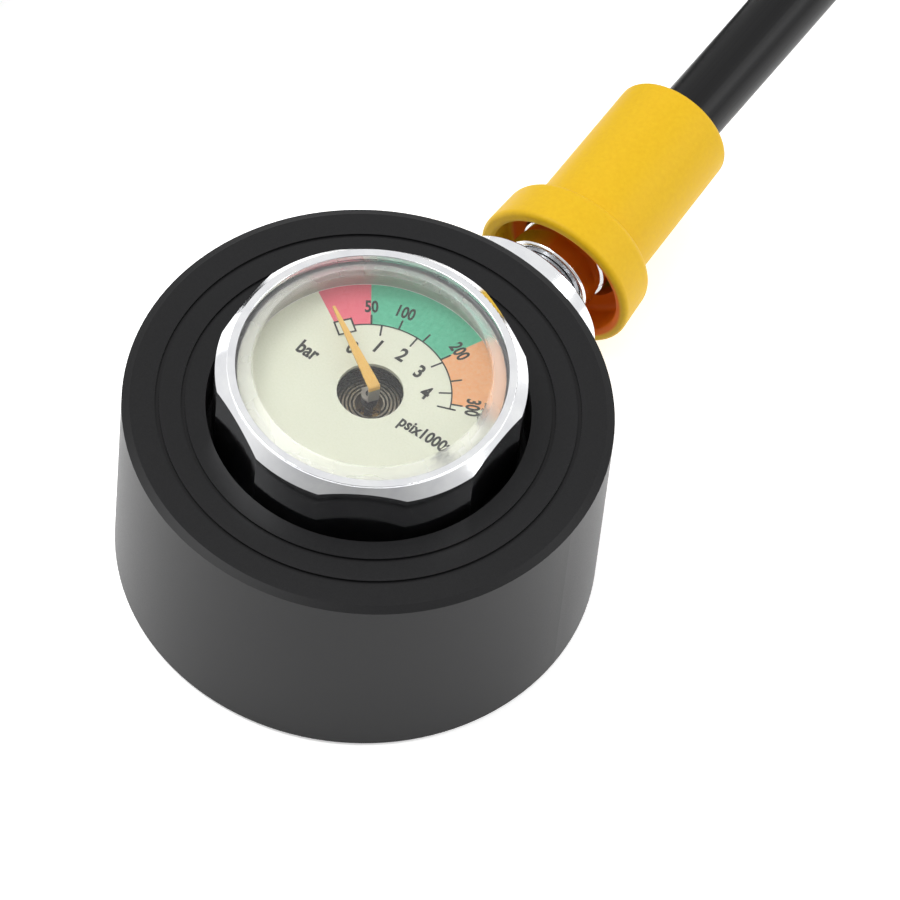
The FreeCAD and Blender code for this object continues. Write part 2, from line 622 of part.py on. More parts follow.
def coupler_body():
    top = HEX_H + COUPLER_HEX_L
    body = hexagon(COUPLER_HEX_AF, HEX_H, top, FLAT_UP)
    body = body.fuse(disc(NECK_R, NECK_H, HEX_H)).fuse(disc(SEAT_R, top, SEAT_H))
    body = body.fuse(disc(COUPLER_BARREL_R, top, COUPLER_H))
    body = body.cut(disc(SPIGOT_R, NECK_H, NECK_H + SPIGOT_L))
    body = body.cut(disc(INSERT_BORE_R, NECK_H, COUPLER_H))
    body = body.cut(disc(SOCKET_R, COUPLER_H - SOCKET_L, COUPLER_H))
    body = body.cut(disc(SOCKET_R + GUIDE_STEP, COUPLER_H - GUIDE_L, COUPLER_H))
    seal_h = COUPLER_H - SOCKET_SEAL_BACK
    body = body.cut(ring(SOCKET_R - RUN_GAP, SOCKET_R + 2 * SEAL_R, seal_h - SEAL_R, seal_h + SEAL_R))
    body = body.cut(ring(COUPLER_BARREL_R - SNAP_DEPTH, COUPLER_BARREL_R + 1, SNAP_H, SNAP_H + SNAP_T))
    hole = Part.makeCylinder(BALL_R + BALL_PLAY, COUPLER_BARREL_R, UP * BALL_H, FreeCAD.Vector(1, 0, 0))
    body = body.cut(around(hole, BALL_COUNT))
    return at_tail(body.removeSplitter())


def coupler_balls():
    reach = LAND_R - BALL_PLAY - BALL_R
    ball = Part.makeSphere(BALL_R, FreeCAD.Vector(reach, 0, BALL_H))
    return at_tail(around(ball, BALL_COUNT))


def coupler_seal():
    return at_tail(o_ring(SOCKET_R + SEAL_R, SEAL_R, COUPLER_H - SOCKET_SEAL_BACK))


def coupler_snap_ring():
    """Open ring in the barrel's groove that stops the sleeve."""
    inner = COUPLER_BARREL_R - SNAP_DEPTH
    full = ring(inner, RELEASE_R - SNAP_GAP, SNAP_H, SNAP_H + SNAP_T)
    gap = Part.makeBox(RELEASE_R, SNAP_OPENING, SNAP_T, FreeCAD.Vector(0, -SNAP_OPENING / 2, SNAP_H))
    return at_tail(full.cut(gap))


def coupler_spring():
    """Return spring between the body's seat and the sleeve's land: half turns, each a tilted arc."""
    low, high = SEAT_H + SPRING_WIRE_R, LAND_BACK_H - SPRING_WIRE_R
    mean_r = (COUPLER_BARREL_R + SLEEVE_BORE_R) / 2
    rise = (high - low) / (2 * SPRING_TURNS)
    bulge = math.hypot(mean_r, rise / 2)
    arcs = []
    for half_turn in range(2 * SPRING_TURNS):
        side = 1 if half_turn % 2 == 0 else -1
        z = low + half_turn * rise
        spots = [FreeCAD.Vector(side * mean_r, 0, z), FreeCAD.Vector(0, side * bulge, z + rise / 2)]
        spots.append(FreeCAD.Vector(-side * mean_r, 0, z + rise))
        arcs.append(Part.Arc(*spots).toShape())
    wire = Part.makeCircle(SPRING_WIRE_R, FreeCAD.Vector(mean_r, 0, low), FreeCAD.Vector(0, 1, 0))
    return at_tail(Part.Wire(arcs).makePipeShell([Part.Wire(wire)], True, False))


def coupler_sleeve():
    """Knurled sliding sleeve: spring room, locking land, release room at the front."""
    body = turned([(SLEEVE_BORE_R, SLEEVE_BACK_H), (SLEEVE_R, SLEEVE_BACK_H, SLEEVE_EDGE),
                   (SLEEVE_R, SLEEVE_FRONT_H, SLEEVE_EDGE), (RELEASE_R, SLEEVE_FRONT_H),
                   (RELEASE_R, LAND_FRONT_H), (LAND_R, LAND_FRONT_H), (LAND_R, LAND_BACK_H),
                   (SLEEVE_BORE_R, LAND_BACK_H)])
    first = SLEEVE_BACK_H + (SLEEVE_L - (GRIP_GROOVES - 1) * GRIP_PITCH - GRIP_GROOVE_W) / 2
    for step in range(GRIP_GROOVES):
        low = first + step * GRIP_PITCH
        body = body.cut(ring(SLEEVE_R - GRIP_GROOVE_DEPTH, SLEEVE_R + 1, low, low + GRIP_GROOVE_W))
    return at_tail(body)


NODES = {
    "housing": housing,
    "inlet_seal": inlet_seal,
    "inlet_filter": inlet_filter,
    "filter_ring": filter_ring,
    "gauge_case": gauge_case,
    "gauge_stem": gauge_stem,
    "gauge_seal": gauge_seal,
    "bourdon_tube": bourdon_tube,
    "dial_plate": dial_plate,
    "dial_ring": dial_ring,
    "lens_seal": lens_seal,
    "lens": lens,
    "lens_ring": lens_ring,
    "pointer_spindle": pointer_spindle,
    "pointer_hub": pointer_hub,
    "pointer": pointer,
    "hose_coupling": hose_coupling,
    "coupling_seal": coupling_seal,
    "hose_insert": lambda: hose_insert(HEAD_FITTING),
    "hose_ferrule": lambda: ferrule(HEAD_FITTING),
    "hose_protector": hose_protector,
    "hose": hose,
    "hose_coil": hose_coil,
    "coil_tie": coil_tie,
    "hose_tail": hose_tail,
    "tail_insert": lambda: hose_insert(TAIL_FITTING),
    "tail_ferrule": lambda: ferrule(TAIL_FITTING),
    "coupler_body": coupler_body,
    "coupler_seal": coupler_seal,
    "coupler_balls": coupler_balls,
    "coupler_snap_ring": coupler_snap_ring,
    "coupler_spring": coupler_spring,
    "coupler_sleeve": coupler_sleeve,
}

os.makedirs("parts", exist_ok=True)
for name, make in NODES.items():
    save(name, make())
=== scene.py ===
import json
import math
import bpy
from mathutils import Matrix, Vector


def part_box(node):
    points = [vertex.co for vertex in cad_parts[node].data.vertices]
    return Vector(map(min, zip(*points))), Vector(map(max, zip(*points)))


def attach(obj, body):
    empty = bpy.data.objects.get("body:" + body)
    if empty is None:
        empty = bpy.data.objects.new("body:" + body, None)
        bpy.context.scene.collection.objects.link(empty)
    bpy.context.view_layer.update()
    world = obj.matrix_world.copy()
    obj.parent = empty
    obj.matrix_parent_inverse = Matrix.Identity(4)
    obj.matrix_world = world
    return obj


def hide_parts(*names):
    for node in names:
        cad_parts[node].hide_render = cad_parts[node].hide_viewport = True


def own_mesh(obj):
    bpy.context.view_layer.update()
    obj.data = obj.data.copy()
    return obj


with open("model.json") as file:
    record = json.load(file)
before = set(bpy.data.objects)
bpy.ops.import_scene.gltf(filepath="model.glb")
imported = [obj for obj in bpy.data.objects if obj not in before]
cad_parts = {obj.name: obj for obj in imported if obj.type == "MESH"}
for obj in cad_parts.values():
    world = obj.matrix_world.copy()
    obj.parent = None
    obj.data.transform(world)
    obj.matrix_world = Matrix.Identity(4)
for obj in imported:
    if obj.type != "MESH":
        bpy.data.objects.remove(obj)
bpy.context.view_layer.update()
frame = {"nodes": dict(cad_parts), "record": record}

MM = 0.001


# ---- places read from the frame --------------------------------------------
def low(node):
    return Vector(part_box(node)[0])


def high(node):
    return Vector(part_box(node)[1])


HOUSING_R = high("housing").x
HOUSING_TOP = high("housing").z
DIAL_Z = high("dial_plate").z
DIAL_RING_T = 1.05 * MM              # wall of the ring round the dial
DIAL_EDGE_R = high("dial_ring").x - DIAL_RING_T
INLET_R = 7.0 * MM
GUARD_MIDDLE = (low("hose_protector") + high("hose_protector")) / 2
GUARD_SKEW = 2.35                    # degrees; the loose sleeve's mouth leans towards +X
FLARE_INSIDE_R = 8.6 * MM            # the protector's inside, painted deep orange as shade, this far out from its axis
FLARE_INSIDE_END = -8.0 * MM         # and from its mouth to here, counted from its middle
LENS_FACE_R = 13.6 * MM              # the window's flat face ends here and slopes down
SPRING_SEAT = Vector((-0.090, high("coupler_spring").y, 0.0095))
WIRE_R, SPRING_TURNS = 0.4 * MM, 6
SPRING_R = (high("coupler_spring").x - low("coupler_spring").x) / 2 - WIRE_R
FERRULE_MOUTH = Vector((0, high("hose_ferrule").y, (low("hose_ferrule").z + high("hose_ferrule").z) / 2))

# ---- the hose's route, the same points as the CAD's, in metres ------------------
HOSE_D = 0.008
COIL_CENTRE = (-0.045, 0.130)
COIL_R = 0.045
UPPER_Z, LOWER_Z = 0.0125, 0.0045
STEPS_PER_TURN = 16
COIL_TURNS = 1.5
DROP_FROM, DROP_TO = 215.0, 318.0      # degrees round the coil over which the upper turn comes down
LEAD_RISE = (0.0, 0.080, 0.0115)
TAIL_ROUTE = ((-0.090, 0.117, 0.0045), (-0.090, 0.098, 0.0095), (-0.090, 0.084, 0.0095))


# ---- camera ----------------------------------------------------------------
def camera():
    """A long lens from the front left, 55 degrees up, leaning a little to the right."""
    azimuth, elevation, roll = math.radians(30.0), math.radians(55.06), math.radians(6.343)
    distance = 30.90 * HOUSING_R
    aside, above = -0.3295 * HOUSING_R, 0.1683 * HOUSING_R
    ahead = Vector((-math.sin(azimuth) * math.cos(elevation), math.cos(azimuth) * math.cos(elevation),
                    -math.sin(elevation)))
    right = Vector((math.cos(azimuth), math.sin(azimuth), 0))
    up = right.cross(ahead)
    right, up = (math.cos(roll) * right + math.sin(roll) * up, -math.sin(roll) * right + math.cos(roll) * up)
    data = bpy.data.cameras.new("camera")
    data.sensor_width = 36.0
    data.lens = 305.6
    data.clip_start, data.clip_end = 0.01, 10.0
    eye = bpy.data.objects.new("camera", data)
    bpy.context.scene.collection.objects.link(eye)
    rim = Vector((0, 0, HOUSING_TOP - 0.4 * MM))
    turn = Matrix((right, up, -ahead)).transposed().to_4x4()
    eye.matrix_world = Matrix.Translation(rim - right * aside - up * above - ahead * distance) @ turn
    bpy.context.scene.camera = eye


# ---- material tools --------------------------------------------------------
def linear(hex_colour):
    """sRGB hex to the linear colour that a shader takes."""
    parts = [int(hex_colour[i:i + 2], 16) / 255 for i in (1, 3, 5)]
    return [p / 12.92 if p <= 0.04045 else ((p + 0.055) / 1.055) ** 2.4 for p in parts] + [1.0]


def add(tree, kind, inputs=None, **settings):
    """Adds a node with its settings; an input is a value or the socket that feeds it."""
    made = tree.nodes.new(kind)
    for key, value in settings.items():
        setattr(made, key, value)
    for key, value in (inputs or {}).items():
        if isinstance(value, bpy.types.NodeSocket):
            tree.links.new(value, made.inputs[key])
        else:
            made.inputs[key].default_value = value
    return made


def new_material(name, **sockets):
    """Material with a Principled shader whose own sockets take the even values."""
    made = bpy.data.materials.new(name)
    made.use_nodes = True
    shader = made.node_tree.nodes["Principled BSDF"]
    for key, value in sockets.items():
        shader.inputs[key.replace("_", " ")].default_value = value
    return made, made.node_tree, shader


def speckle(tree, size_mm, detail=3.0, roughness=0.55, stretch=(1, 1, 1)):
    """Noise in object space whose features are about size_mm across."""
    place = add(tree, "ShaderNodeTexCoord").outputs["Object"]
    spread = add(tree, "ShaderNodeMapping", {"Vector": place, "Scale": stretch}).outputs["Vector"]
    return add(tree, "ShaderNodeTexNoise", {"Vector": spread, "Scale": 1 / (size_mm * MM), "Detail": detail,
                                            "Roughness": roughness}).outputs["Fac"]


def between(tree, fac, low_value, high_value, start=0.3, end=0.7):
    """Turns a 0-1 pattern into a number between two values."""
    return add(tree, "ShaderNodeMapRange", {"Value": fac, "From Min": start, "From Max": end,
                                            "To Min": low_value, "To Max": high_value}).outputs["Result"]


def blend(tree, fac, first, second):
    """Turns a 0-1 pattern into a colour between two colours, hex or socket."""
    inputs = {"Factor": fac}
    for key, colour in (("A", first), ("B", second)):
        inputs[key] = linear(colour) if isinstance(colour, str) else colour
    mix = tree.nodes.new("ShaderNodeMix")
    mix.data_type = "RGBA"
    sockets = {"Factor": mix.inputs[0], "A": mix.inputs[6], "B": mix.inputs[7]}
    for key, value in inputs.items():
        if isinstance(value, bpy.types.NodeSocket):
            tree.links.new(value, sockets[key])
        else:
            sockets[key].default_value = value
    return mix.outputs[2]


def texture(tree, shader, fac, first, second, rough=None, bump_mm=0.0):
    """The usual finish: a pattern that shifts colour, roughness and height a little."""
    colour_fac = between(tree, fac, 0.0, 1.0)
    tree.links.new(blend(tree, colour_fac, first, second), shader.inputs["Base Color"])
    if rough:
        tree.links.new(between(tree, fac, *rough), shader.inputs["Roughness"])
    if bump_mm:
        bump = add(tree, "ShaderNodeBump", {"Height": fac, "Distance": bump_mm * MM, "Strength": 1.0})
        tree.links.new(bump.outputs["Normal"], shader.inputs["Normal"])


# ---- materials -------------------------------------------------------------
def black_anodised_aluminium():
    """Turned, bead-blasted and dyed: a deep satin black that greys softly at a glancing look."""
    made, tree, shader = new_material("black_anodised_aluminium", Specular_IOR_Level=0.15)
    fine = speckle(tree, 0.12, detail=2.0)
    texture(tree, shader, fine, "#161617", "#1C1C1D", (0.32, 0.39), 0.002)
    return made


def bright_chrome():
    """Polished and chrome plated: a slightly soft mirror with the ripple of the metal beneath."""
    made, tree, shader = new_material("bright_chrome", Metallic=1.0)
    ripple = speckle(tree, 2.5, detail=2.0)
    texture(tree, shader, ripple, "#E6E7EA", "#F0F1F2", (0.08, 0.15), 0.012)
    return made


def dial_enamel():
    """Matt enamel, screen printed: a pale greenish cream with a chalky grain."""
    made, tree, shader = new_material("dial_enamel")
    texture(tree, shader, speckle(tree, 0.25), "#EEF2DA", "#F4F7E2", (0.55, 0.68), 0.002)
    return made


def zone_ink(name, dark, light):
    """Translucent printing ink over the enamel: flat colour, slightly uneven where it thins."""
    made, tree, shader = new_material(name)
    texture(tree, shader, speckle(tree, 0.5), dark, light, (0.45, 0.58), 0.001)
    return made


def print_ink():
    """Dark grey printing ink: matt, with softly broken edges."""
    made, tree, shader = new_material("print_ink")
    texture(tree, shader, speckle(tree, 0.2), "#24261F", "#34372E", (0.5, 0.62))
    return made


def satin_aluminium():
    """Blasted aluminium band: light grey, with only a smear of the dial beside it."""
    made, tree, shader = new_material("satin_aluminium", Metallic=0.1)
    lines = speckle(tree, 0.3, stretch=(0.3, 0.3, 3.0))
    texture(tree, shader, lines, "#B4B0A8", "#C6C2BA", (0.34, 0.44), 0.001)
    return made


def clear_silicone():
    """Moulded clear silicone: milky grey, letting some light through."""
    made, tree, shader = new_material("clear_silicone", Transmission_Weight=0.35, IOR=1.41)
    texture(tree, shader, speckle(tree, 0.4), "#C9C9C4", "#DADAD6", (0.3, 0.45))
    return made


def white_lacquer():
    """White edge of the dial: clean and slightly glossy, partly a painted highlight along the edge, with a
    painted glow from its faint emission.
    """
    # Painted highlight: the faint emission makes the white edge glow.
    made, tree, shader = new_material("white_lacquer", Emission_Strength=0.1, Emission_Color=(1, 1, 1, 1))
    texture(tree, shader, speckle(tree, 0.3), "#F4F5F0", "#FBFBF8", (0.3, 0.4))
    return made


def clear_acrylic():
    """Clear acrylic window: a polished flat face, and a slightly cloudy slope round it."""
    made, tree, shader = new_material("clear_acrylic", IOR=1.49, Base_Color=(1, 1, 1, 1))
    haze = between(tree, speckle(tree, 6.0, detail=1.0), 0.0, 0.03)
    place = add(tree, "ShaderNodeTexCoord").outputs["Object"]
    flat = add(tree, "ShaderNodeVectorMath", {0: place, 1: (1, 1, 0)}, operation="MULTIPLY").outputs[0]
    radius = add(tree, "ShaderNodeVectorMath", {0: flat}, operation="LENGTH").outputs["Value"]
    slope_band = (LENS_FACE_R - 0.2 * MM, LENS_FACE_R + 0.1 * MM)
    slope = between(tree, radius, 0.0, 0.26, *slope_band)
    cloudy = between(tree, radius, 1.0, 0.86, *slope_band)
    tree.links.new(cloudy, shader.inputs["Transmission Weight"])
    tree.links.new(add(tree, "ShaderNodeMath", {0: haze, 1: slope}, operation="ADD").outputs["Value"],
                   shader.inputs["Roughness"])
    return made


def pointer_enamel():
    """Yellow enamel on a stamped blade, bare grey metal on the bent root below it."""
    made, tree, shader = new_material("pointer_enamel")
    place = add(tree, "ShaderNodeTexCoord").outputs["Object"]
    height = add(tree, "ShaderNodeSeparateXYZ", {"Vector": place}).outputs["Z"]
    blade = high("pointer").z
    painted = between(tree, height, 0.0, 1.0, blade - 0.75 * MM, blade - 0.65 * MM)
    tree.links.new(between(tree, speckle(tree, 0.3), 0.36, 0.44), shader.inputs["Roughness"])
    enamel = blend(tree, speckle(tree, 0.4), "#F2BC58", "#F8CC70")
    tree.links.new(blend(tree, painted, "#B4B1A8", enamel), shader.inputs["Base Color"])
    tree.links.new(between(tree, painted, 0.4, 0.0, 0.0, 1.0), shader.inputs["Metallic"])
    return made


def dark_oxide():
    """Blackened steel: dull grey-black with lighter rubbed places."""
    made, tree, shader = new_material("dark_oxide", Metallic=0.6)
    texture(tree, shader, speckle(tree, 0.5), "#2E2E30", "#55555A", (0.35, 0.5), 0.002)
    return made


def bright_steel():
    """Ground steel: neutral, with fine grinding marks."""
    made, tree, shader = new_material("bright_steel", Metallic=1.0)
    texture(tree, shader, speckle(tree, 0.3, stretch=(1, 4, 1)), "#9C9DA0", "#B9BABD", (0.18, 0.3), 0.002)
    return made


def spring_steel():
    """Drawn, oil-tempered wire: blue-grey with a low sheen."""
    made, tree, shader = new_material("spring_steel", Metallic=1.0)
    texture(tree, shader, speckle(tree, 0.4, stretch=(1, 1, 3)), "#6C6E73", "#8A8C90", (0.28, 0.4), 0.002)
    return made


def phosphor_bronze():
    """Rolled bronze strip: brownish grey edges that catch the light."""
    made, tree, shader = new_material("phosphor_bronze", Metallic=1.0)
    texture(tree, shader, speckle(tree, 0.3, stretch=(1, 1, 5)), "#77705F", "#A39C8B", (0.25, 0.4), 0.001)
    return made


def turned_brass():
    """Turned brass: warm yellow with tool marks round it."""
    made, tree, shader = new_material("turned_brass", Metallic=1.0)
    texture(tree, shader, speckle(tree, 0.25, stretch=(1, 1, 6)), "#B8924E", "#CDA964", (0.22, 0.34), 0.002)
    return made


def sintered_bronze():
    """Sintered bronze balls: a rough, sandy, open grain."""
    made, tree, shader = new_material("sintered_bronze", Metallic=0.8)
    place = add(tree, "ShaderNodeTexCoord").outputs["Object"]
    balls = add(tree, "ShaderNodeTexVoronoi", {"Vector": place, "Scale": 1 / (0.35 * MM)})
    texture(tree, shader, balls.outputs["Distance"], "#8E6B3C", "#4A3519", (0.5, 0.7), 0.1)
    return made


def nitrile_rubber():
    """Moulded nitrile: dull black with a dry bloom."""
    made, tree, shader = new_material("nitrile_rubber", Specular_IOR_Level=0.4)
    texture(tree, shader, speckle(tree, 0.3), "#161616", "#222221", (0.55, 0.7), 0.004)
    return made


def yellow_pvc():
    """Dip-moulded soft PVC: saturated yellow with a satin skin, and deep orange painted inside its mouth as
    shade.
    """
    made, tree, shader = new_material("yellow_pvc", Subsurface_Weight=0.08, Subsurface_Scale=0.6 * MM,
                                      Subsurface_Radius=(1.0, 0.5, 0.1), Specular_IOR_Level=0.18)
    fine = speckle(tree, 0.5, detail=4.0)
    texture(tree, shader, fine, "#C89F10", "#CEA617", (0.46, 0.56), 0.012)
    skin = shader.inputs["Base Color"].links[0].from_socket
    place = add(tree, "ShaderNodeTexCoord").outputs["Object"]
    centred = add(tree, "ShaderNodeMapping", {"Vector": place, "Location": tuple(-c for c in GUARD_MIDDLE)})
    turned = add(tree, "ShaderNodeMapping", {"Vector": centred.outputs["Vector"],
                                             "Rotation": (0, 0, math.radians(-GUARD_SKEW))}).outputs["Vector"]
    axes = add(tree, "ShaderNodeSeparateXYZ", {"Vector": turned}).outputs
    across = add(tree, "ShaderNodeCombineXYZ", {"X": axes["X"], "Z": axes["Z"]}).outputs["Vector"]
    radius = add(tree, "ShaderNodeVectorMath", {0: across}, operation="LENGTH").outputs["Value"]
    inside = between(tree, radius, 1.0, 0.0, FLARE_INSIDE_R, FLARE_INSIDE_R + 0.35 * MM)
    near = between(tree, axes["Y"], 1.0, 0.0, FLARE_INSIDE_END, FLARE_INSIDE_END + 0.8 * MM)
    mouth = add(tree, "ShaderNodeMath", {0: inside, 1: near}, operation="MULTIPLY").outputs["Value"]
    # Painted shade: the inside of the mouth is coloured deep orange instead of the yellow skin.
    tree.links.new(blend(tree, mouth, skin, "#D26000"), shader.inputs["Base Color"])
    return made


def black_polyurethane():
    """Extruded hose jacket: black with a soft gloss and faint lengthwise draw lines."""
    made, tree, shader = new_material("black_polyurethane", Specular_IOR_Level=0.2)
    along = add(tree, "ShaderNodeTexCoord").outputs["UV"]
    lines = add(tree, "ShaderNodeMapping", {"Vector": along, "Scale": (6.0, 90.0, 1.0)}).outputs["Vector"]
    draw = add(tree, "ShaderNodeTexNoise", {"Vector": lines, "Scale": 1.0, "Detail": 3.0}).outputs["Fac"]
    texture(tree, shader, draw, "#0D0D0E", "#131314", (0.30, 0.38), 0.01)
    return made


def moulded_nylon():
    """Moulded nylon strap: black, slightly waxy, with the ladder of teeth pressed in it."""
    made, tree, shader = new_material("moulded_nylon", Specular_IOR_Level=0.45)
    place = add(tree, "ShaderNodeTexCoord").outputs["Object"]
    teeth = add(tree, "ShaderNodeTexWave", {"Vector": place, "Scale": 1 / (1.2 * MM) / 6.3},
                bands_direction="Z")
    texture(tree, shader, teeth.outputs["Fac"], "#141414", "#232323", (0.4, 0.5), 0.05)
    return made


def studio_floor():
    """Seamless white paper: matt and pale."""
    made, tree, shader = new_material("white_paper", Specular_IOR_Level=0.1, Emission_Strength=0.42,
                                      Emission_Color=(1, 1, 1, 1))
    texture(tree, shader, speckle(tree, 8.0), "#F7F7F7", "#FAFAFA", (0.85, 0.95))
    return made


# ---- modelling tools -------------------------------------------------------
def deselect():
    bpy.ops.object.select_all(action="DESELECT")


def edit_all():
    bpy.ops.object.mode_set(mode="EDIT")
    bpy.ops.mesh.select_all(action="SELECT")


def settle(piece, name, material, body="head"):
    """Puts a finished piece's place in its mesh, names it, paints it and lets it ride."""
    deselect()
    piece.select_set(True)
    bpy.context.view_layer.objects.active = piece
    bpy.ops.object.transform_apply(location=True, rotation=True, scale=True)
    piece.name = name
    piece.data.name = name
    piece.data.materials.clear()
    piece.data.materials.append(material)
    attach(piece, body)
    deselect()
    return piece


def joined(pieces):
    deselect()
    for piece in pieces:
        piece.select_set(True)
    bpy.context.view_layer.objects.active = pieces[0]
    bpy.ops.object.join()
    return bpy.context.object


# ---- print on the dial -----------------------------------------------------
INK_LIFT = 0.02 * MM                 # each layer of ink above the one below
ARC_R = 9.24 * MM                    # the scale's arc
ZERO_ANGLE, DEGREES_PER_BAR, DEGREES_PER_KPSI = 144.4, 0.394, 27.17
BAR_MARKS = range(50, 301, 50)
KPSI_MARKS = (1, 2, 3, 4)
SCALE_END = 22.1
INK_W = 0.16 * MM
ZERO_LEAN = 53.6
ZONES = (("zone_low", 149.2, 124.7), ("zone_working", 124.7, 65.8), ("zone_full", 65.8, 26.0))


def arc_sheet(inner, outer, start, end, height):
    """Flat band of a ring between two angles, start the larger, in degrees from +X."""
    deselect()
    bpy.ops.mesh.primitive_circle_add(vertices=360, radius=outer, fill_type="NOTHING",
                                      location=(0, 0, height))
    piece = bpy.context.object
    edit_all()
    bpy.ops.mesh.extrude_region()
    bpy.ops.transform.resize(value=(inner / outer, inner / outer, 1), center_override=(0, 0, height))
    for angle, sign in ((start, 1), (end, -1)):
        bpy.ops.mesh.select_all(action="SELECT")
        across = (-sign * math.sin(math.radians(angle)), sign * math.cos(math.radians(angle)), 0)
        bpy.ops.mesh.bisect(plane_co=(0, 0, height), plane_no=across, clear_outer=True)
    bpy.ops.mesh.select_all(action="SELECT")
    bpy.ops.mesh.normals_make_consistent(inside=False)
    bpy.ops.object.mode_set(mode="OBJECT")
    face_up(piece)
    return piece


def face_up(piece):
    """Turns a flat sheet over if it faces down."""
    if piece.data.polygons[0].normal.z < 0:
        bpy.context.view_layer.objects.active = piece
        edit_all()
        bpy.ops.mesh.flip_normals()
        bpy.ops.object.mode_set(mode="OBJECT")


def tick(angle, inner, outer, width, height):
    """Short printed line along a radius, its ends rounded."""
    turn = math.radians(angle)
    middle = (inner + outer) / 2
    deselect()
    place = (middle * math.cos(turn), middle * math.sin(turn), height)
    bpy.ops.mesh.primitive_plane_add(size=1.0, location=place, rotation=(0, 0, turn))
    piece = bpy.context.object
    edit_all()
    bpy.ops.transform.resize(value=(outer - inner, width, 1), orient_type="LOCAL")
    bpy.ops.mesh.bevel(offset=width * 0.4, affect="VERTICES", segments=3)
    bpy.ops.object.mode_set(mode="OBJECT")
    return piece


def lettering(words, height, place, lean=0.0, narrow=0.86):
    """Flat letters of a given height, centred on a place; lean turns them, in degrees."""
    deselect()
    bpy.ops.object.text_add(location=(0, 0, 0))
    piece = bpy.context.object
    piece.data.body = words
    piece.data.resolution_u = 4
    piece.data.offset = 0.03
    bpy.ops.object.convert(target="MESH")
    piece = bpy.context.object
    corners = [v.co for v in piece.data.vertices]
    bottom, top = (pick(c.y for c in corners) for pick in (min, max))
    left, right = (pick(c.x for c in corners) for pick in (min, max))
    scale = height / (top - bottom)
    middle = Matrix.Translation((-(left + right) / 2, -(bottom + top) / 2, 0))
    size = Matrix.Diagonal((scale * narrow, scale, 1, 1))
    turn = Matrix.Rotation(math.radians(lean), 4, "Z")
    piece.data.transform(Matrix.Translation(place) @ turn @ size @ middle)
    return piece


def dial_zones():
    inks = {"zone_low": zone_ink("red_ink", "#F56E80", "#FA7C8C"),
            "zone_working": zone_ink("green_ink", "#56C096", "#68CEA8"),
            "zone_full": zone_ink("orange_ink", "#FFB476", "#FFC492")}
    for name, start, end in ZONES:
        zone = arc_sheet(ARC_R, DIAL_EDGE_R, start, end, DIAL_Z + INK_LIFT)
        settle(zone, name, inks[name])


def dial_rim():
    """Thin white edge of the dial, where it meets the ring's wall: printed white, and partly a painted
    highlight that glows.
    """
    rim = arc_sheet(DIAL_EDGE_R - 0.05 * MM, DIAL_EDGE_R + 0.2 * MM, 180, 0, DIAL_Z + 3 * INK_LIFT)
    other = arc_sheet(DIAL_EDGE_R - 0.05 * MM, DIAL_EDGE_R + 0.2 * MM, 0, -180, DIAL_Z + 3 * INK_LIFT)
    settle(joined([rim, other]), "dial_rim", white_lacquer())


def dial_scale(ink):
    height = DIAL_Z + 2 * INK_LIFT
    marks = [arc_sheet(ARC_R - INK_W / 2, ARC_R + INK_W / 2, ZERO_ANGLE, SCALE_END, height)]
    for bar in BAR_MARKS:
        marks.append(tick(ZERO_ANGLE - DEGREES_PER_BAR * bar, ARC_R, ARC_R + 1.36 * MM, INK_W * 1.3, height))
    for kpsi in KPSI_MARKS:
        marks.append(tick(ZERO_ANGLE - DEGREES_PER_KPSI * kpsi, ARC_R - 1.5 * MM, ARC_R, INK_W * 1.3, height))
    marks.append(tick(SCALE_END, ARC_R - 1.5 * MM, ARC_R + 0.7 * MM, INK_W * 1.3, height))
    settle(joined(marks), "dial_scale", ink)


def zero_box(ink, enamel):
    """Outlined box at the start of the scale: a cream patch with a dark frame round it."""
    centre = Vector((ARC_R * math.cos(math.radians(143.6)), ARC_R * math.sin(math.radians(143.6)), 0))
    for name, layer, material, framed in (("zero_patch", 3, enamel, False), ("zero_frame", 4, ink, True)):
        deselect()
        place = centre + Vector((0, 0, DIAL_Z + layer * INK_LIFT))
        bpy.ops.mesh.primitive_plane_add(size=1.0, location=place, rotation=(0, 0, math.radians(ZERO_LEAN)))
        piece = bpy.context.object
        edit_all()
        bpy.ops.transform.resize(value=(2.2 * MM, 2.0 * MM, 1), orient_type="LOCAL")
        bpy.ops.mesh.inset(thickness=INK_W * 1.3, depth=0)
        if framed:
            bpy.ops.mesh.delete(type="ONLY_FACE")
        bpy.ops.object.mode_set(mode="OBJECT")
        settle(piece, name, material)


def dial_numbers(ink):
    height = DIAL_Z + 2 * INK_LIFT
    numbers = []
    for kpsi in range(5):
        angle = math.radians(ZERO_ANGLE - DEGREES_PER_KPSI * kpsi)
        place = (6.3 * MM * math.cos(angle), 6.3 * MM * math.sin(angle), height)
        numbers.append(lettering(str(kpsi), 1.9 * MM, place, narrow=0.8))
    for bar in (50, 100, 200, 300):
        degrees = ZERO_ANGLE - DEGREES_PER_BAR * bar
        angle = math.radians(degrees)
        place = (11.75 * MM * math.cos(angle), 11.75 * MM * math.sin(angle), height)
        numbers.append(lettering(str(bar), 1.7 * MM, place, lean=degrees - 90, narrow=0.7))
    settle(joined(numbers), "dial_numbers", ink)
    units = [lettering("bar", 1.95 * MM, (-8.75 * MM, 0.3 * MM, height), narrow=0.75),
             lettering("psix1000", 2.1 * MM, (8.15 * MM, -1.35 * MM, height), narrow=0.8)]
    settle(joined(units), "dial_units", ink)


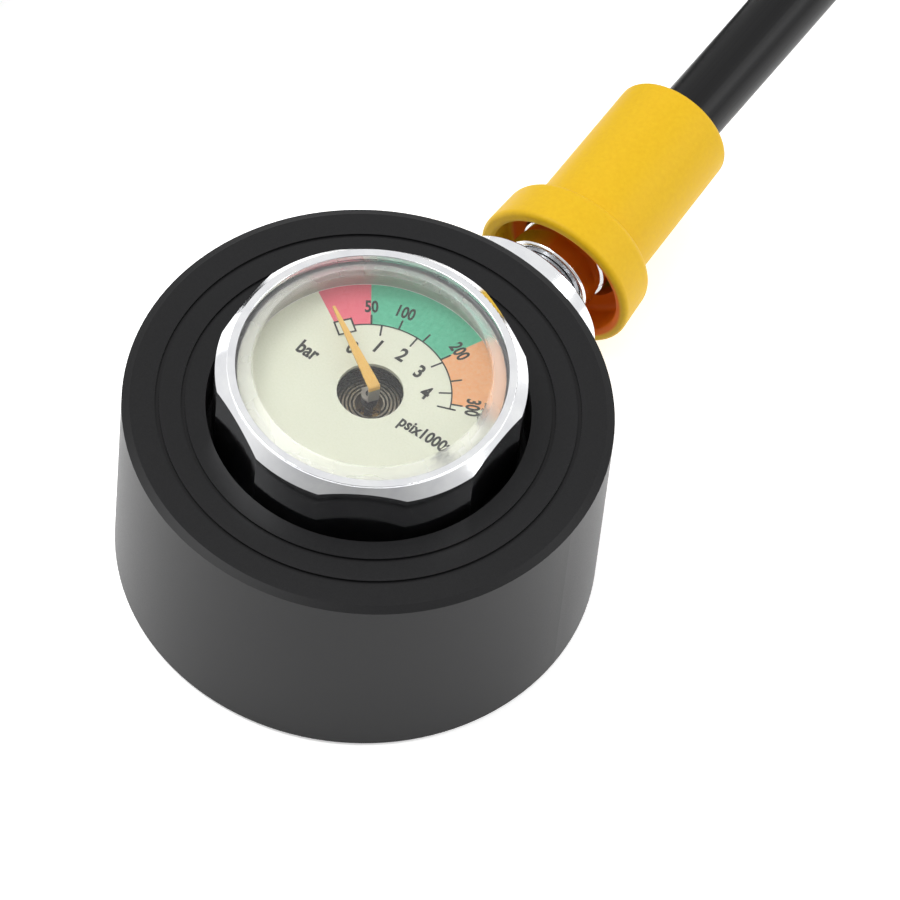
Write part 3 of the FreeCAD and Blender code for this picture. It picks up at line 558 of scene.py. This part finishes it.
# ---- thread in the inlet ---------------------------------------------------
def inlet_thread():
    """Helical ridge round the inlet's wall: a small triangle wound up the bore."""
    pitch, ridge, turns = 1.5 * MM, 0.55 * MM, 4
    deselect()
    bpy.ops.mesh.primitive_circle_add(vertices=3, radius=ridge, location=(INLET_R - ridge * 0.4, 0, 0.9 * MM),
                                      rotation=(math.pi / 2, 0, 0))
    piece = bpy.context.object
    edit_all()
    bpy.ops.transform.rotate(value=math.pi / 2, orient_axis="Y", center_override=piece.location)
    bpy.ops.object.mode_set(mode="OBJECT")
    bpy.ops.object.transform_apply(location=True, rotation=True, scale=True)
    wind = piece.modifiers.new("wind", "SCREW")
    wind.screw_offset = pitch
    wind.iterations = turns
    wind.steps = wind.render_steps = 72
    bpy.ops.object.modifier_apply(modifier="wind")
    edit_all()
    bpy.ops.mesh.edge_face_add()
    bpy.ops.mesh.select_all(action="SELECT")
    bpy.ops.mesh.normals_make_consistent(inside=False)
    bpy.ops.object.mode_set(mode="OBJECT")
    return piece


# ---- coupler spring --------------------------------------------------------
def coupler_spring(wire):
    """Round wire wound along Y between the coupler's land and its sleeve."""
    length = high("coupler_spring").y - low("coupler_spring").y - 2 * WIRE_R
    deselect()
    bpy.ops.mesh.primitive_circle_add(vertices=12, radius=WIRE_R, location=(SPRING_R, 0, 0),
                                      rotation=(math.pi / 2, 0, 0))
    piece = bpy.context.object
    bpy.ops.object.transform_apply(location=True, rotation=True, scale=True)
    wind = piece.modifiers.new("wind", "SCREW")
    wind.screw_offset = length / SPRING_TURNS
    wind.iterations = SPRING_TURNS
    wind.steps = wind.render_steps = 40
    bpy.ops.object.modifier_apply(modifier="wind")
    edit_all()
    bpy.ops.mesh.select_all(action="DESELECT")
    bpy.ops.mesh.select_non_manifold()
    bpy.ops.mesh.edge_face_add()
    bpy.ops.mesh.select_all(action="SELECT")
    bpy.ops.mesh.normals_make_consistent(inside=False)
    bpy.ops.mesh.faces_shade_smooth()
    bpy.ops.object.mode_set(mode="OBJECT")
    piece.rotation_euler = (math.pi / 2, 0, 0)
    piece.location = SPRING_SEAT - Vector((0, WIRE_R, 0))
    settle(piece, "wound_spring", wire)
    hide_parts("coupler_spring")
    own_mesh(piece)
    return piece


# ---- hose ------------------------------------------------------------------
def coil_points():
    """Control points of the turns: the upper turn comes down under the lead and leaves below."""
    reach = COIL_R * 8 / (6 + 2 * math.cos(2 * math.pi / STEPS_PER_TURN))
    step = 360.0 / STEPS_PER_TURN
    points = []
    for index in range(round(COIL_TURNS * STEPS_PER_TURN)):
        degrees = (index + 0.5) * step
        share = min(1.0, max(0.0, (degrees - DROP_FROM) / (DROP_TO - DROP_FROM)))
        height = UPPER_Z + (LOWER_Z - UPPER_Z) * share * share * (3 - 2 * share)
        angle = math.radians(degrees)
        points.append((COIL_CENTRE[0] + reach * math.cos(angle),
                       COIL_CENTRE[1] + reach * math.sin(angle), height))
    return points


def hose(jacket, spring):
    """One length of hose from the ferrule's mouth through the coil to the far ferrule."""
    reach = COIL_R * math.tan(math.pi / STEPS_PER_TURN)
    start = FERRULE_MOUTH - Vector((0, 1.0 * MM, 0))
    lead = [tuple(start), LEAD_RISE, (0.0, COIL_CENTRE[1] - reach, UPPER_Z)]
    route = lead + coil_points() + list(TAIL_ROUTE)
    curve = bpy.data.curves.new("hose", "CURVE")
    curve.dimensions = "3D"
    curve.bevel_depth = HOSE_D / 2
    curve.bevel_resolution = 8
    curve.resolution_u = 10
    curve.use_fill_caps = True
    spline = curve.splines.new("NURBS")
    spline.points.add(len(route) - 1)
    for point, place in zip(spline.points, route):
        point.co = (*place, 1.0)
    spline.order_u = 3
    spline.use_endpoint_u = True
    piece = bpy.data.objects.new("hose_line", curve)
    bpy.context.scene.collection.objects.link(piece)
    curve.materials.append(jacket)
    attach(piece, "head")
    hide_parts("hose", "hose_coil", "hose_tail")
    return piece


# ---- studio ----------------------------------------------------------------
STUDIO_FRONT = (0.5, -0.866, 0)      # the studio is dimmer on this side


def studio():
    deselect()
    bpy.ops.mesh.primitive_plane_add(size=3.0, location=(0, 0, -0.0002))
    floor = bpy.context.object
    floor.name = "floor"
    floor.data.materials.append(studio_floor())
    world = bpy.data.worlds.new("studio")
    world.use_nodes = True
    tree = world.node_tree
    towards = add(tree, "ShaderNodeTexCoord").outputs["Generated"]
    front = add(tree, "ShaderNodeVectorMath", {0: towards, 1: STUDIO_FRONT}, operation="DOT_PRODUCT")
    backdrop = tree.nodes["Background"].inputs
    backdrop["Color"].default_value = (1, 1, 1, 1)
    tree.links.new(between(tree, front.outputs["Value"], 0.95, 0.3, 0.2, 0.9), backdrop["Strength"])
    bpy.context.scene.world = world
    for name, place, size, power in (("key_softbox", (-0.5, -0.2, 1.1), 0.7, 9.0),
                                     ("fill_softbox", (0.9, 0.5, 0.8), 0.6, 5.0)):
        data = bpy.data.lights.new(name, "AREA")
        data.size = size
        data.energy = power
        lamp = bpy.data.objects.new(name, data)
        lamp.location = place
        lamp.rotation_euler = (-Vector(place)).to_track_quat("-Z", "Y").to_euler()
        bpy.context.scene.collection.objects.link(lamp)
    bpy.context.scene.view_settings.view_transform = "Standard"


def paint_nodes(paints):
    """Gives every CAD node the material of its slot."""
    for entry in frame["record"]["subparts"]:
        piece = frame["nodes"][entry["node"]]
        paint = paints[entry["material_slot"]]
        if not piece.material_slots:
            piece.data.materials.append(paint)
        for place in piece.material_slots:
            place.material = paint


camera()
ink, enamel, jacket, wire = print_ink(), dial_enamel(), black_polyurethane(), spring_steel()
hose(jacket, coupler_spring(wire))
paint_nodes({
    "black_anodised": black_anodised_aluminium(), "black_rubber": nitrile_rubber(),
    "sintered_bronze": sintered_bronze(), "spring_steel": wire, "chrome": bright_chrome(),
    "brass": turned_brass(), "bronze_strip": phosphor_bronze(), "dial_paint": enamel,
    "satin_ring": satin_aluminium(), "clear_lens": clear_acrylic(), "bright_steel": bright_steel(),
    "dark_hub": dark_oxide(), "pointer_yellow": pointer_enamel(), "yellow_sleeve": yellow_pvc(),
    "hose_black": jacket, "tie_nylon": moulded_nylon(), "clear_silicone": clear_silicone()})
dial_zones()
dial_rim()
dial_scale(ink)
zero_box(ink, enamel)
dial_numbers(ink)
settle(inlet_thread(), "inlet_thread", bpy.data.materials["black_anodised_aluminium"])
studio()
